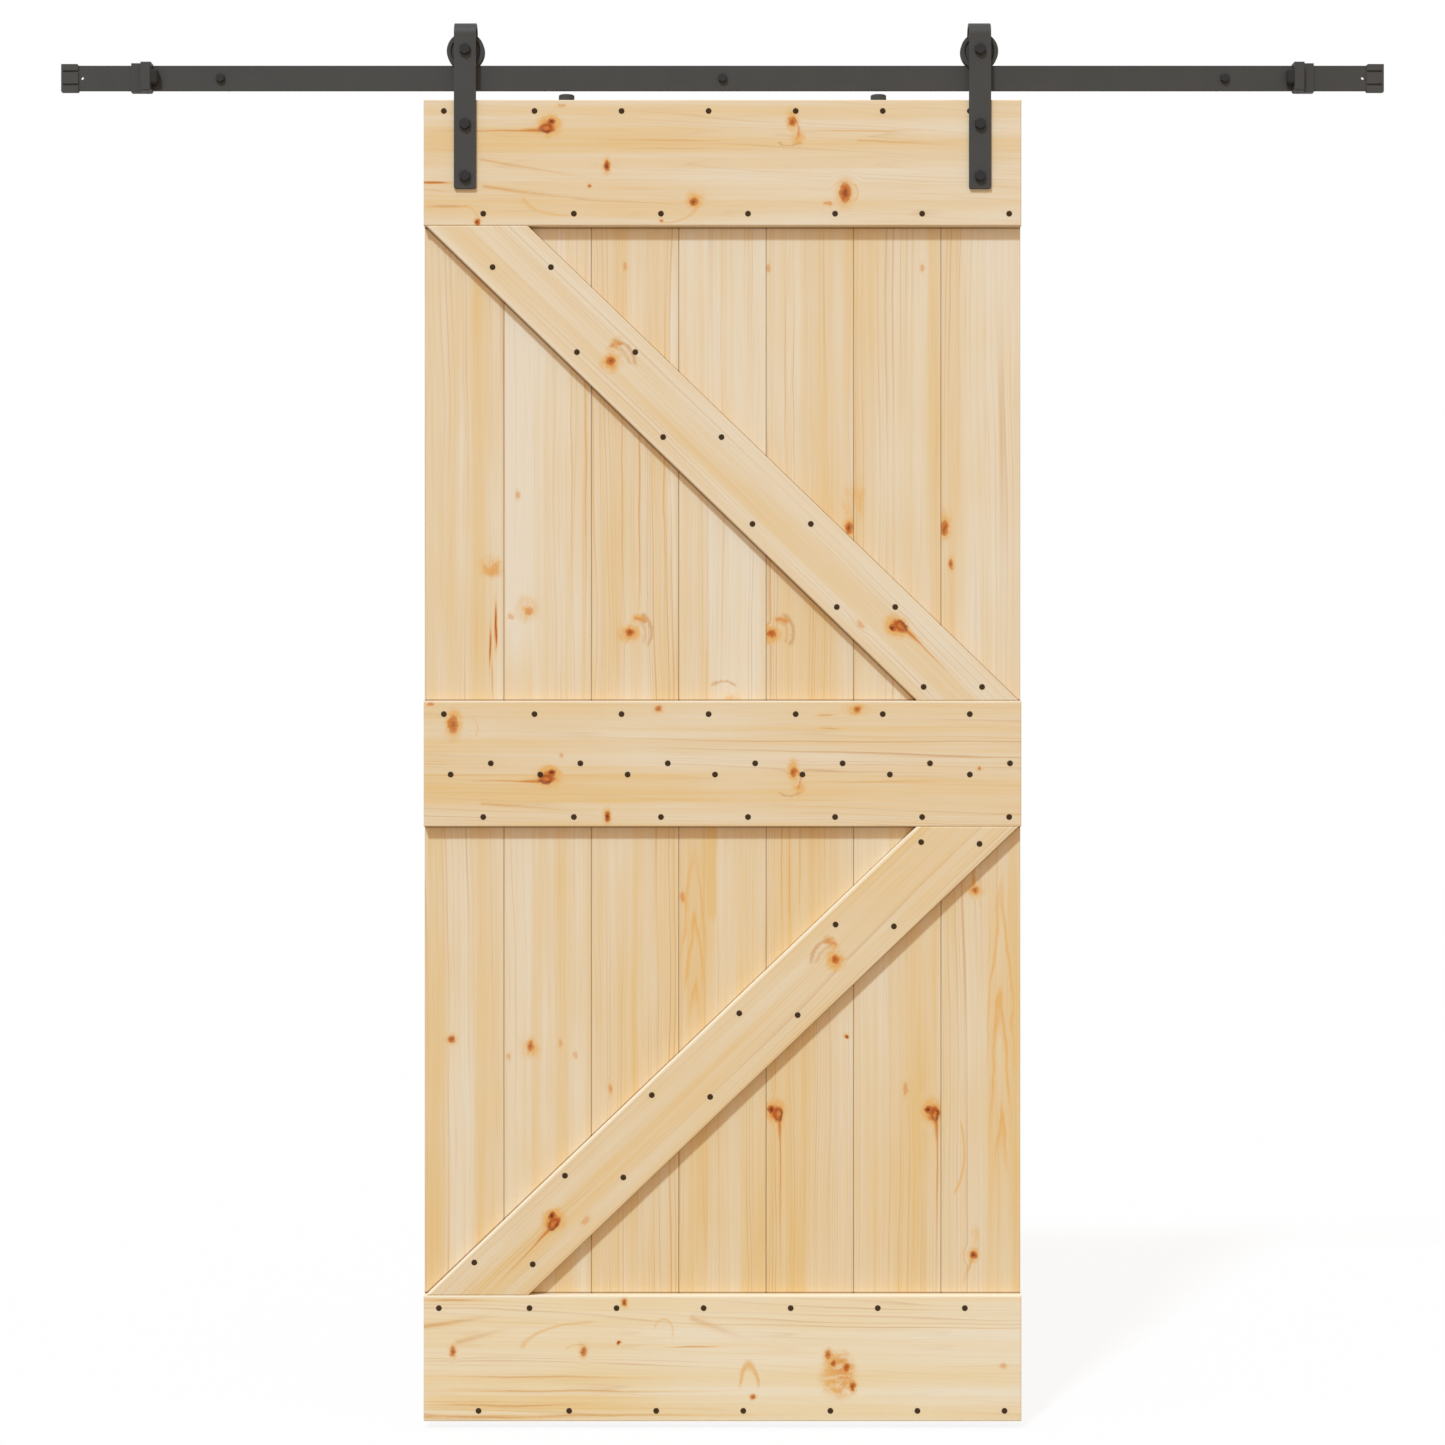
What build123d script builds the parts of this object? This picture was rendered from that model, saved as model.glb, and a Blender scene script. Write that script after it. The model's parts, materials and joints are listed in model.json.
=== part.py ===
"""Sliding barn door: a pine plank leaf with a K-shaped frame, hung from a flat steel rail.

The frame's origin lies on the wall, on the axis of the middle lag bolt. +X runs to the right
along the rail, +Y goes into the wall and +Z is up, so the door's face looks along -Y.
All lengths are millimetres.
"""

import math
import os

from build123d import *

# Flat rail and its fixings
rail_length = 2100.0
rail_height = 40.0
rail_thickness = 6.0
rail_edge_radius = 0.8
lag_inset = 250.0
end_hole_diameter = 5.0
end_hole_inset = 30.0
spacer_length = 32.0
spacer_diameter = 16.0
lag_diameter = 8.0
lag_hole_clearance = 0.3
lag_head_flats = 13.0
lag_head_height = 5.5
lag_thread_diameter = 7.2
lag_thread_length = 42.0
lag_tip_length = 8.0
lag_tip_diameter = 1.5

# Moulded caps on the rail's ends
cap_length = 27.5
cap_wall = 2.0
cap_end_wall = 3.5
cap_fit = 0.1
cap_mouth_chamfer = 1.6
cap_end_radius = 1.0
cap_slot_spacing = 21.0
cap_slot_width = 3.0

# Clamped stops with rubber bumpers
stop_inset = 108.5
stop_length = 33.0
stop_wall = 3.0
stop_fit = 0.1
stop_head_length = 16.0
stop_head_depth = 16.0
stop_corner_radius = 2.0
stop_lower_radius = 3.5
stop_screw_diameter = 5.0
bumper_length = 11.0
bumper_rim = 1.0
bumper_height = 24.0
bumper_corner_radius = 4.0
bumper_nose_chamfer = 2.5
bumper_stem_diameter = 6.0
bumper_stem_length = 8.0
bumper_stem_fit = 0.1

# Grooved wheels
wheel_rolling_radius = 22.0
wheel_groove_depth = 8.0
wheel_running_gap = 0.3
wheel_width = 16.0
wheel_groove_side_gap = 1.2
wheel_groove_flare = 0.8
wheel_rim_width = 6.0
wheel_web_recess = 2.5
wheel_hub_radius = 10.0
wheel_edge_chamfer = 1.0
wheel_bore_clearance = 0.1
wheel_end_gap = 0.3

# J-shaped hangers, their axles and bolts
hanger_inset = 66.0
strap_width = 35.0
strap_thickness = 5.0
strap_gap = 30.0
strap_headroom = 10.2
strap_reach = 142.0
strap_corner_radius = 3.0
strap_edge_chamfer = 0.5
rear_leg_drop = 14.0
rear_leg_corner_radius = 8.0
bolt_diameter = 10.0
bolt_hole_clearance = 0.25
bolt_flats = 16.0
bolt_head_height = 6.4
bolt_end_margin = 20.0
bolt_pitch = 82.5
nut_thickness = 5.0
nut_thread_show = 1.5
washer_diameter = 21.0
washer_thickness = 2.0
hex_edge_chamfer = 0.7
hex_turn = 30.0

# Discs on the door's top edge that stop it from jumping off the rail
disc_inset = 226.5
disc_diameter = 25.0
disc_height = 10.0
disc_gap = 7.0
disc_edge_chamfer = 1.0
disc_screw_diameter = 4.5
disc_countersink_diameter = 9.0

# Pine leaf
door_width = 950.0
door_height = 2100.0
plank_thickness = 17.0
plank_face_width = 139.4
plank_count = 7
plank_seam_gap = 0.4
plank_seam_chamfer = 0.8
tongue_length = 8.0
tongue_thickness = 5.0
tongue_fit = 0.3
batten_width = 200.0
batten_thickness = 17.0
middle_batten_drop = 955.0
brace_width = 112.0
brace_inset = 4.0
board_edge_radius = 2.0

# Depths, from the wall at zero towards the viewer
rail_back_y = -spacer_length
rail_front_y = rail_back_y - rail_thickness
rail_mid_y = (rail_back_y + rail_front_y) / 2
strap_front_inner_y = rail_mid_y - strap_gap / 2
strap_front_outer_y = strap_front_inner_y - strap_thickness
strap_rear_inner_y = rail_mid_y + strap_gap / 2
strap_rear_outer_y = strap_rear_inner_y + strap_thickness
batten_front_y = strap_front_inner_y
plank_front_y = batten_front_y + batten_thickness
plank_back_y = plank_front_y + plank_thickness

# Heights, from the rail's middle line
axle_z = rail_height / 2 + wheel_running_gap + wheel_rolling_radius
flange_radius = wheel_rolling_radius + wheel_groove_depth
bend_z = axle_z + flange_radius + strap_headroom - strap_gap / 2
door_top_z = -rail_height / 2 - disc_gap - disc_height
door_bottom_z = door_top_z - door_height
strap_bottom_z = door_top_z - strap_reach
lower_bolt_z = strap_bottom_z + bolt_end_margin
upper_bolt_z = lower_bolt_z + bolt_pitch

lag_hole_diameter = lag_diameter + 2 * lag_hole_clearance
bolt_hole_diameter = bolt_diameter + 2 * bolt_hole_clearance
wheel_bore_diameter = bolt_diameter + 2 * wheel_bore_clearance

sides = {"left": -1, "right": 1}
lag_x = rail_length / 2 - lag_inset
lag_stations = {"left": -lag_x, "centre": 0.0, "right": lag_x}
hanger_x = door_width / 2 - hanger_inset
disc_x = door_width / 2 - disc_inset

os.makedirs("parts", exist_ok=True)


def facing(x, y, z):
    """Plane through a point that faces the viewer: local x is +X and local y is +Z."""
    return Plane(origin=(x, y, z), x_dir=(1, 0, 0), z_dir=(0, -1, 0))


def inward(side, x, y, z):
    """Plane through a point whose normal runs along the rail to its middle: local x is +Y."""
    return Plane(origin=(x, y, z), x_dir=(0, 1, 0), z_dir=(-side, 0, 0))


def save(piece, label):
    """Label a finished piece and write it to its own file."""
    piece.part.label = label
    export_step(piece.part, f"parts/{label}.step")


def make_rail():
    """Flat bar with three holes for the lag bolts and one small hole near each end."""
    end_x = rail_length / 2 - end_hole_inset
    with BuildPart() as rail:
        with BuildSketch(facing(0, rail_back_y, 0)):
            Rectangle(rail_length, rail_height)
        extrude(amount=rail_thickness)
        fillet(rail.edges().filter_by(Axis.X), rail_edge_radius)
        with Locations(*(facing(x, rail_front_y, 0) for x in lag_stations.values())):
            Hole(lag_hole_diameter / 2)
        with Locations(facing(-end_x, rail_front_y, 0), facing(end_x, rail_front_y, 0)):
            Hole(end_hole_diameter / 2)
    save(rail, "track_rail")


def make_spacer(name, x):
    """Tube that holds the rail off the wall round one lag bolt."""
    with BuildPart() as spacer:
        with BuildSketch(facing(x, 0, 0)):
            Circle(spacer_diameter / 2)
            Circle(lag_hole_diameter / 2, mode=Mode.SUBTRACT)
        extrude(amount=spacer_length)
    save(spacer, f"{name}_spacer")


def make_lag_bolt(name, x):
    """Hex-headed lag bolt: plain shank through rail and spacer, thinner thread beyond the wall."""
    thread_end_y = lag_thread_length
    with BuildPart() as lag:
        with BuildSketch(facing(x, rail_front_y, 0)):
            RegularPolygon(lag_head_flats / 2, 6, major_radius=False, rotation=hex_turn)
        extrude(amount=lag_head_height)
        chamfer(lag.faces().sort_by(Axis.Y)[0].edges(), hex_edge_chamfer)
        with BuildSketch(facing(x, rail_front_y, 0)):
            Circle(lag_diameter / 2)
        extrude(amount=rail_front_y)
        with BuildSketch(facing(x, 0, 0)):
            Circle(lag_thread_diameter / 2)
        extrude(amount=-lag_thread_length)
        with BuildSketch(facing(x, thread_end_y, 0)):
            Circle(lag_thread_diameter / 2)
        with BuildSketch(facing(x, thread_end_y + lag_tip_length, 0)):
            Circle(lag_tip_diameter / 2)
        loft()
    save(lag, f"{name}_lag_bolt")


def make_end_cap(name, side):
    """Moulded cap pushed over a rail end, its front wall slotted into three fingers."""
    outer_x = side * (rail_length / 2 + cap_end_wall)
    mouth_x = outer_x - side * cap_length
    slot_length = cap_length - cap_end_wall
    depth = rail_thickness + 2 * (cap_fit + cap_wall)
    height = rail_height + 2 * (cap_fit + cap_wall)
    front_y = rail_mid_y - depth / 2
    with BuildPart() as cap:
        with BuildSketch(inward(side, outer_x, rail_mid_y, 0)):
            Rectangle(depth, height)
        extrude(amount=cap_length)
        mouth = cap.faces().sort_by(Axis.X)[0 if side > 0 else -1]
        chamfer(mouth.edges().filter_by(Axis.Y), cap_mouth_chamfer)
        closed_end = cap.faces().sort_by(Axis.X)[-1 if side > 0 else 0]
        fillet(closed_end.edges(), cap_end_radius)
        with BuildSketch(inward(side, side * rail_length / 2, rail_mid_y, 0)):
            Rectangle(rail_thickness + 2 * cap_fit, rail_height + 2 * cap_fit)
        extrude(amount=cap_length, mode=Mode.SUBTRACT)
        with BuildSketch(facing(mouth_x, front_y, 0)):
            with GridLocations(0, cap_slot_spacing, 1, 2):
                Rectangle(2 * slot_length, cap_slot_width)
        extrude(amount=-cap_wall, mode=Mode.SUBTRACT)
    save(cap, f"{name}_end_cap")


def make_stop(name, side):
    """Steel collar clamped round the rail, with a deeper head that carries the bumper."""
    outer_x = side * (rail_length / 2 - stop_inset)
    inner_x = outer_x - side * stop_length
    head_x = inner_x + side * stop_head_length / 2
    depth = rail_thickness + 2 * (stop_fit + stop_wall)
    height = rail_height + 2 * (stop_fit + stop_wall)
    with BuildPart() as stop:
        with BuildSketch(inward(side, outer_x, rail_mid_y, 0)):
            Rectangle(depth, height)
        extrude(amount=stop_length)
        with BuildSketch(facing(head_x, rail_front_y, 0)):
            Rectangle(stop_head_length, height)
        extrude(amount=stop_head_depth)
        lowest = stop.edges().filter_by(Axis.Y).group_by(Axis.Z)[0]
        fillet(lowest.sort_by(Axis.X)[0 if side > 0 else -1], stop_lower_radius)
        head_front = stop.faces().sort_by(Axis.Y)[0]
        fillet(head_front.edges(), stop_corner_radius)
        with BuildSketch(inward(side, outer_x, rail_mid_y, 0)):
            Rectangle(rail_thickness + 2 * stop_fit, rail_height + 2 * stop_fit)
        extrude(amount=stop_length, mode=Mode.SUBTRACT)
        with Locations(inward(side, inner_x, bumper_y(), 0)):
            Hole(bumper_stem_diameter / 2 + bumper_stem_fit, bumper_stem_length + bumper_stem_fit)
        with Locations(Plane(origin=(head_x, rail_mid_y, -height / 2), z_dir=(0, 0, -1))):
            Hole(stop_screw_diameter / 2, stop_wall + stop_fit)
    save(stop, f"{name}_stop")


def bumper_y():
    """Depth of the bumper's middle: halfway out along the stop's head."""
    return rail_front_y - stop_head_depth / 2


def make_bumper(name, side):
    """Rubber pad with a rounded nose, plugged into the stop's head by a stem."""
    inner_x = side * (rail_length / 2 - stop_inset - stop_length)
    with BuildPart() as bumper:
        with BuildSketch(inward(side, inner_x, bumper_y(), 0)):
            RectangleRounded(stop_head_depth - 2 * bumper_rim, bumper_height, bumper_corner_radius)
        extrude(amount=bumper_length)
        nose = bumper.faces().sort_by(Axis.X)[0 if side > 0 else -1]
        chamfer(nose.edges(), bumper_nose_chamfer)
        with BuildSketch(inward(side, inner_x, bumper_y(), 0)):
            Circle(bumper_stem_diameter / 2)
        extrude(amount=-bumper_stem_length)
    save(bumper, f"{name}_bumper")


def wheel_outline():
    """Half section of a wheel as (distance along the axle, radius) points, from bore to bore."""
    hub_end = strap_gap / 2 - wheel_end_gap
    rim = wheel_width / 2
    web = rim - wheel_web_recess
    groove = rail_thickness / 2 + wheel_groove_side_gap
    rim_foot = flange_radius - wheel_rim_width
    half = [
        (hub_end, wheel_bore_diameter / 2),
        (hub_end, wheel_hub_radius),
        (web, wheel_hub_radius),
        (web, rim_foot - wheel_web_recess),
        (rim, rim_foot),
        (rim, flange_radius - wheel_edge_chamfer),
        (rim - wheel_edge_chamfer, flange_radius),
        (groove + wheel_groove_flare, flange_radius),
        (groove, wheel_rolling_radius),
    ]
    return half + [(-u, r) for u, r in reversed(half)]


def make_wheel(name, side):
    """Grooved wheel that rolls on the rail's top edge, turned about its axle."""
    x = side * hanger_x
    with BuildPart() as wheel:
        with BuildSketch(Plane.YZ.offset(x)):
            with BuildLine():
                Polyline(*((rail_mid_y + u, axle_z + r) for u, r in wheel_outline()), close=True)
            make_face()
        revolve(axis=Axis((x, 0, axle_z), (0, 1, 0)))
    save(wheel, f"{name}_wheel")


def make_hanger(name, side):
    """Flat strap bent over the wheel: long leg bolted to the door, short leg behind the wheel."""
    x = side * hanger_x
    outer_radius = strap_gap / 2 + strap_thickness
    rear_bottom_z = axle_z - rear_leg_drop
    with BuildPart() as hanger:
        with BuildSketch(Plane.YZ.offset(x)):
            with BuildLine():
                Line((strap_front_outer_y, strap_bottom_z), (strap_front_outer_y, bend_z))
                ThreePointArc(
                    (strap_front_outer_y, bend_z),
                    (rail_mid_y, bend_z + outer_radius),
                    (strap_rear_outer_y, bend_z),
                )
                Polyline(
                    (strap_rear_outer_y, bend_z),
                    (strap_rear_outer_y, rear_bottom_z),
                    (strap_rear_inner_y, rear_bottom_z),
                    (strap_rear_inner_y, bend_z),
                )
                ThreePointArc(
                    (strap_rear_inner_y, bend_z),
                    (rail_mid_y, bend_z + strap_gap / 2),
                    (strap_front_inner_y, bend_z),
                )
                Polyline(
                    (strap_front_inner_y, bend_z),
                    (strap_front_inner_y, strap_bottom_z),
                    (strap_front_outer_y, strap_bottom_z),
                )
            make_face()
        extrude(amount=strap_width / 2, both=True)
        ends = hanger.edges().filter_by(Axis.Y).group_by(Axis.Z)
        fillet(ends[0], strap_corner_radius)
        fillet(ends[-1], rear_leg_corner_radius)
        flanks = hanger.faces().filter_by(Axis.X)
        chamfer(flanks.edges(), strap_edge_chamfer)
        with Locations(facing(x, strap_front_outer_y, axle_z)):
            Hole(bolt_hole_diameter / 2)
        with Locations(*(facing(x, strap_front_outer_y, z) for z in (upper_bolt_z, lower_bolt_z))):
            Hole(bolt_hole_diameter / 2, strap_thickness)
    save(hanger, f"{name}_hanger")


def make_bolt(label, x, z, nut_seat_y):
    """Hex bolt through a hanger with a washer and a thin nut at its far end, as one fastener."""
    nut_y = nut_seat_y + washer_thickness
    end_y = nut_y + nut_thickness + nut_thread_show
    with BuildPart() as bolt:
        with BuildSketch(facing(x, strap_front_outer_y, z)):
            RegularPolygon(bolt_flats / 2, 6, major_radius=False, rotation=hex_turn)
        extrude(amount=bolt_head_height)
        chamfer(bolt.faces().sort_by(Axis.Y)[0].edges(), hex_edge_chamfer)
        with BuildSketch(facing(x, strap_front_outer_y, z)):
            Circle(bolt_diameter / 2)
        extrude(amount=strap_front_outer_y - end_y)
        with BuildSketch(facing(x, nut_seat_y, z)):
            Circle(washer_diameter / 2)
        extrude(amount=-washer_thickness)
        with BuildSketch(facing(x, nut_y, z)):
            RegularPolygon(bolt_flats / 2, 6, major_radius=False, rotation=hex_turn)
        extrude(amount=-nut_thickness)
    save(bolt, label)


def make_disc(name, side):
    """Low disc screwed to the door's top edge, under the rail."""
    with BuildPart() as disc:
        with BuildSketch(Plane((side * disc_x, rail_mid_y, door_top_z))):
            Circle(disc_diameter / 2)
        extrude(amount=disc_height)
        top = disc.faces().sort_by(Axis.Z)[-1]
        chamfer(top.edges(), disc_edge_chamfer)
        with Locations(Plane((side * disc_x, rail_mid_y, door_top_z + disc_height))):
            CounterSinkHole(disc_screw_diameter / 2, disc_countersink_diameter / 2)
    save(disc, f"{name}_anti_jump_disc")


def hanger_bolt_seats(y, left, right):
    """Planes of the hanger bolts' holes, at depth y, that fall between two stations along X."""
    stations = [side * hanger_x for side in sides.values()]
    inside = [x for x in stations if left < x < right]
    return [facing(x, y, z) for x in inside for z in (upper_bolt_z, lower_bolt_z)]


def plank_seams():
    """Stations of the planks' edges: equal planks in the middle, two narrower ones outside."""
    inner = plank_count - 2
    seams = [(k - inner / 2) * plank_face_width for k in range(inner + 1)]
    return [-door_width / 2, *seams, door_width / 2]


def make_plank(number, seam_left, seam_right):
    """Upright board with a tongue on its right edge and a groove on its left one."""
    first = number == 1
    last = number == plank_count
    left = seam_left + (0 if first else plank_seam_gap / 2)
    right = seam_right - (0 if last else plank_seam_gap / 2)
    mid_y = (plank_front_y + plank_back_y) / 2
    groove_depth = tongue_length + tongue_fit
    groove_width = tongue_thickness + 2 * tongue_fit
    with BuildPart() as plank:
        with BuildSketch(Plane.XY.offset(door_bottom_z)) as section:
            with Locations(((left + right) / 2, mid_y)):
                Rectangle(right - left, plank_thickness)
            chamfer(section.vertices(), plank_seam_chamfer)
            if not last:
                with Locations((right, mid_y)):
                    Rectangle(tongue_length, tongue_thickness, align=(Align.MIN, Align.CENTER))
            if not first:
                with Locations((left, mid_y)):
                    Rectangle(
                        groove_depth,
                        groove_width,
                        align=(Align.MIN, Align.CENTER),
                        mode=Mode.SUBTRACT,
                    )
        extrude(amount=door_height)
        seats = hanger_bolt_seats(plank_front_y, left, right)
        if seats:
            with Locations(*seats):
                Hole(bolt_hole_diameter / 2)
    save(plank, f"plank_{number}")


def make_batten(name, drop, bolted):
    """Crosswise board on the planks' front, with rounded front edges."""
    mid_z = door_top_z - drop - batten_width / 2
    with BuildPart() as batten:
        with BuildSketch(facing(0, plank_front_y, mid_z)):
            Rectangle(door_width, batten_width)
        extrude(amount=batten_thickness)
        front = batten.faces().sort_by(Axis.Y)[0]
        fillet(front.edges(), board_edge_radius)
        if bolted:
            with Locations(*hanger_bolt_seats(batten_front_y, -door_width / 2, door_width / 2)):
                Hole(bolt_hole_diameter / 2)
    save(batten, f"{name}_batten")


def brace_cut_length(span, rise):
    """Level length of a brace's end cut, so that the slanted board keeps its width.

    The board's two corners lie span apart, its ends lie rise apart, and the cut c solves
    c * rise / hypot(rise, span - c) = brace_width.
    """
    ratio = (rise / brace_width) ** 2 - 1
    return (math.sqrt(span**2 + ratio * (rise**2 + span**2)) - span) / ratio


def make_brace(name, drop_top, drop_bottom, top_side):
    """Slanted board between two battens: from the side given at its top to the other side."""
    top_z = door_top_z - drop_top
    bottom_z = door_top_z - drop_bottom
    reach = door_width / 2 - brace_inset
    cut = brace_cut_length(2 * reach, top_z - bottom_z)
    with BuildPart() as brace:
        with BuildSketch(facing(0, plank_front_y, 0)):
            with BuildLine():
                Polyline(
                    (top_side * reach, top_z),
                    (top_side * (reach - cut), top_z),
                    (-top_side * reach, bottom_z),
                    (-top_side * (reach - cut), bottom_z),
                    close=True,
                )
            make_face()
        extrude(amount=batten_thickness)
        front = brace.faces().sort_by(Axis.Y)[0]
        fillet(front.edges(), board_edge_radius)
    save(brace, f"{name}_brace")


make_rail()
for station_name, station_x in lag_stations.items():
    make_spacer(station_name, station_x)
    make_lag_bolt(station_name, station_x)

for side_name, side_sign in sides.items():
    bolt_x = side_sign * hanger_x
    make_end_cap(side_name, side_sign)
    make_stop(side_name, side_sign)
    make_bumper(side_name, side_sign)
    make_hanger(side_name, side_sign)
    make_wheel(side_name, side_sign)
    make_disc(side_name, side_sign)
    make_bolt(f"{side_name}_axle", bolt_x, axle_z, strap_rear_outer_y)
    make_bolt(f"{side_name}_upper_bolt", bolt_x, upper_bolt_z, plank_back_y)
    make_bolt(f"{side_name}_lower_bolt", bolt_x, lower_bolt_z, plank_back_y)

seam_list = plank_seams()
for plank_number, seam_pair in enumerate(zip(seam_list, seam_list[1:]), start=1):
    make_plank(plank_number, *seam_pair)

bottom_batten_drop = door_height - batten_width
make_batten("top", 0.0, bolted=True)
make_batten("middle", middle_batten_drop, bolted=False)
make_batten("bottom", bottom_batten_drop, bolted=False)
make_brace("upper", batten_width, middle_batten_drop, sides["left"])
make_brace("lower", middle_batten_drop + batten_width, bottom_batten_drop, sides["right"])
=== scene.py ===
"""Looks of a sliding barn door: pine boards, a coated steel rail with hangers, screws and a studio."""

import json
import logging
import math
from abc import ABC, abstractmethod
from dataclasses import dataclass
from enum import Enum
from itertools import accumulate
from typing import Any, Callable, Iterable, Sequence, Union

import bmesh
import bpy
from mathutils import Matrix, Vector


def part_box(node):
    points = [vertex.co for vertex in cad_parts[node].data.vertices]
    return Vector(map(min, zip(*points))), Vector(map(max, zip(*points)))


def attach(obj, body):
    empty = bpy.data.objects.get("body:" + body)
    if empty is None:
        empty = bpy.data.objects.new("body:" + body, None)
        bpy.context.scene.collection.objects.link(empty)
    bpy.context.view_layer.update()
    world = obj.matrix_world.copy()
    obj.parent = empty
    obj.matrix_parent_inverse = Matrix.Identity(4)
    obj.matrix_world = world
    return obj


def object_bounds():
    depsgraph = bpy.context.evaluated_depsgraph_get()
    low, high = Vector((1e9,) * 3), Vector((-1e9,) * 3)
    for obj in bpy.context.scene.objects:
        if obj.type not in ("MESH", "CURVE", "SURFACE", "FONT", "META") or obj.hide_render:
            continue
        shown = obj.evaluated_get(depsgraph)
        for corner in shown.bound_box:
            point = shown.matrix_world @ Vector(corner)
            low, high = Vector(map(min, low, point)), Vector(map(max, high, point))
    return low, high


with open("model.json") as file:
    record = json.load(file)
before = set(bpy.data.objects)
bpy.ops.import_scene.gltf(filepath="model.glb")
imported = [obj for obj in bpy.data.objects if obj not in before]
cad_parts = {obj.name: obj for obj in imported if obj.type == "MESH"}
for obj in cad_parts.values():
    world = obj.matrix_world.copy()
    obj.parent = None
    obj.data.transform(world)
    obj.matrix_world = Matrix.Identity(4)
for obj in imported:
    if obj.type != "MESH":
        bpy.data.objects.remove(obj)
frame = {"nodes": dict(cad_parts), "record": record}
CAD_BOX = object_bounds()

logging.basicConfig(level=logging.INFO, format="%(message)s")
LOG = logging.getLogger("sliding_door")

MM = 0.001
SIDES = ("left", "right")
STATIONS = ("left", "centre", "right")
INTO = Vector((0.0, 1.0, 0.0))
FRONT = Vector((0.0, -1.0, 0.0))
UP = Vector((0.0, 0.0, 1.0))
DOWN = Vector((0.0, 0.0, -1.0))
WELD_DISTANCE = 1e-7
SHARP_ANGLE = math.radians(35)
# Colour sockets of the Mix node, whose names its other types share
MIX_FIRST, MIX_SECOND, MIX_RESULT = 6, 7, 2
# Shifts from one board's seed to the next, in the noise along its grain, its ring gaps and its lines
GRAIN_SHIFT = 911.0
RING_SHIFT = 13.0
LINE_SHIFT = 31.0

Place = tuple[float, float]
Triple = tuple[float, float, float]
Colour = Triple


def linear(*levels: int) -> Colour:
    """Turn a display colour, in levels from 0 to 255, into scene-linear light."""
    shares = (level / 255 for level in levels)
    return tuple(x / 12.92 if x <= 0.04045 else ((x + 0.055) / 1.055) ** 2.4 for x in shares)


def operator(operation: str, swapped: bool = False) -> Callable[..., "Signal"]:
    """Make one of a signal's arithmetic methods.

    Args:
        operation: What its Math node does.
        swapped: Whether the signal is the last operand instead of the first.

    Returns:
        The method.
    """
    def method(self: "Signal", *others: "Operand") -> "Signal":
        """Add a Math node on this signal and the other operands."""
        return self.graph.maths(operation, *((*others, self) if swapped else (self, *others)))

    return method


class Signal:
    """A node's output socket that takes part in Python arithmetic."""

    def __init__(self, graph: "Graph", socket: bpy.types.NodeSocket) -> None:
        """Keep the graph that new Math nodes go to, and the socket."""
        self.graph = graph
        self.socket = socket

    __add__ = __radd__ = operator("ADD")
    __sub__ = operator("SUBTRACT")
    __rsub__ = operator("SUBTRACT", swapped=True)
    __mul__ = __rmul__ = operator("MULTIPLY")
    __truediv__ = operator("DIVIDE")
    __abs__ = operator("ABSOLUTE")
    root = operator("SQRT")
    fraction = operator("FRACT")
    whole = operator("FLOOR")

    def clamped(self) -> "Signal":
        """This signal kept between 0 and 1."""
        return self.graph.value("ShaderNodeClamp", {}, {"Value": self})

    def step(self, low: float, high: float) -> "Signal":
        """A smooth step from 0 at low to 1 at high, in either order."""
        return self.graph.value(
            "ShaderNodeMapRange",
            {"interpolation_type": "SMOOTHSTEP"},
            {"Value": self, "From Min": low, "From Max": high},
        )


Operand = Union[Signal, int, float]


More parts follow.
